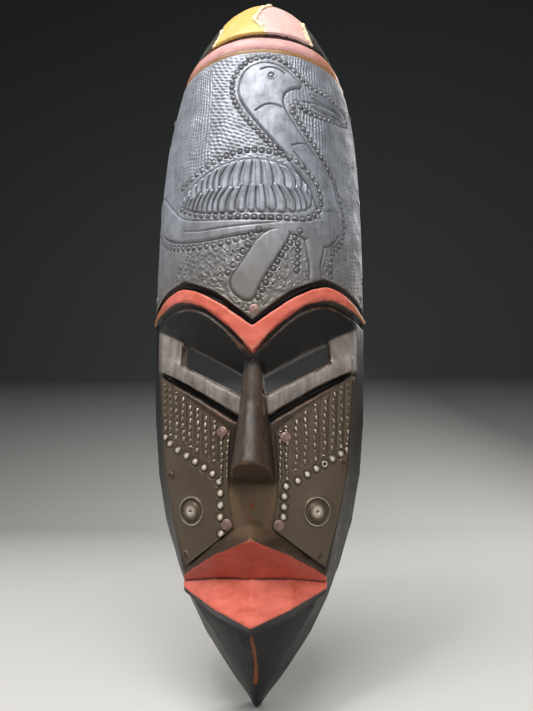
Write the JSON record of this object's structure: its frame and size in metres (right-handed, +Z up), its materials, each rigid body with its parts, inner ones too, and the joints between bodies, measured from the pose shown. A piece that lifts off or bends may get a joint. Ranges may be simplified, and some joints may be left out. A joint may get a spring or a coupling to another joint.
{
  "type": "carved wall mask",
  "caption": "Tall narrow carved wooden wall mask with a hollow back, slanted eye slits, painted brow and lips, and embossed metal sheets nailed to its forehead and cheeks.",
  "frame": {"origin": "middle of the hanging staple's bar, where the wall nail carries the mask", "axes": "+Z up along the mask towards its crown, -Y the way the face looks, +Y towards the wall, +X towards the viewer's right"},
  "size_m": [0.1268, 0.0666, 0.415],
  "materials": {
    "carved_wood": "black-brown stained wood with a satin wax sheen, painted brow, lips and crown",
    "forehead_metal": "embossed, blackened in the recesses",
    "cheek_metal": "embossed, dark bronze-brown patina",
    "copper_nail": "tarnished copper-coloured flat heads",
    "painted_tack": "stained over with the wood",
    "steel_tack": "dull steel",
    "putty": "hard cream filler",
    "steel_wire": "bent wire"
  },
  "bodies": {
    "root": {"mask_body": "carved_wood", "forehead_sheet": "forehead_metal", "left_cheek_sheet": "cheek_metal", "right_cheek_sheet": "cheek_metal", "crown_seam_centre": "putty", "crown_seam_left": "putty", "crown_seam_right": "putty", "forehead_centre_nail": "copper_nail", "left_cheek_upper_nail": "copper_nail", "left_cheek_lower_nail": "copper_nail", "right_cheek_upper_nail": "copper_nail", "right_cheek_lower_nail": "copper_nail", "left_cheek_side_tack": "painted_tack", "left_cheek_low_tack": "painted_tack", "right_cheek_side_tack": "painted_tack", "right_cheek_low_tack": "painted_tack", "forehead_top_tack": "steel_tack", "forehead_tack_left_low": "steel_tack", "forehead_tack_left_mid": "steel_tack", "forehead_tack_left_high": "steel_tack", "forehead_tack_right_low": "steel_tack", "forehead_tack_right_mid": "steel_tack", "forehead_tack_right_high": "steel_tack", "hanging_staple": "steel_wire"}
  },
  "joints": []
}
